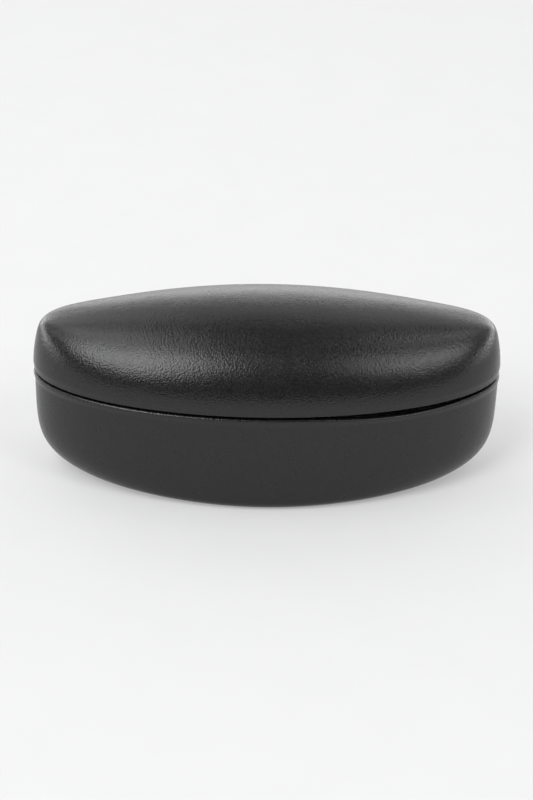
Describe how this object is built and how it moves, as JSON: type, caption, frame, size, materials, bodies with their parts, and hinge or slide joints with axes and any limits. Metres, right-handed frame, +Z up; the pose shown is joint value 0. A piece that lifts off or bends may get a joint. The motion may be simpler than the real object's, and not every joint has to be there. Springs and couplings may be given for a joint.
{
  "type": "eyeglasses case",
  "caption": "Hard clamshell eyeglasses case with a domed lid, leatherette cover, plush lining and a sprung hinge at the back.",
  "frame": {"origin": "centre of the flat bottom", "axes": "+X along the case's length, +Y towards the hinge, +Z up"},
  "size_m": [0.1659, 0.0705, 0.0653],
  "materials": {
    "leatherette": "fine pebbled grain, semi-gloss black",
    "steel_sheet": "drawn mild steel sheet, dull",
    "hinge_metal": "nickel plated, satin",
    "spring_steel": "drawn spring wire",
    "tray_plastic": "vacuum formed black PVC",
    "plush": "short black pile",
    "foam": "grey open-cell foam sheet"
  },
  "bodies": {
    "base": {"base_leather": "leatherette", "base_shell": "steel_sheet", "base_tray": "tray_plastic", "base_foam_pad": "foam", "base_plush": "plush", "hinge_leaf_base": "hinge_metal", "base_rivets": "hinge_metal", "hinge_pin": "hinge_metal", "hinge_spring_left": "spring_steel", "hinge_spring_right": "spring_steel", "hinge_cover": "plush"},
    "lid": {"lid_leather": "leatherette", "lid_shell": "steel_sheet", "lid_tray": "tray_plastic", "lid_plush": "plush", "hinge_leaf_lid": "hinge_metal", "lid_rivets": "hinge_metal"}
  },
  "joints": [
    {"name": "lid_hinge", "type": "hinge", "parent": "base", "child": "lid", "pos_m": [0, 0.033, 0.03775], "axis": [-1, 0, 0], "range_deg": [0, 105], "stiffness_Nm_per_rad": 0.057, "springref_deg": -148.97, "deforming": ["hinge_spring_left", "hinge_spring_right", "hinge_cover"]}
  ]
}
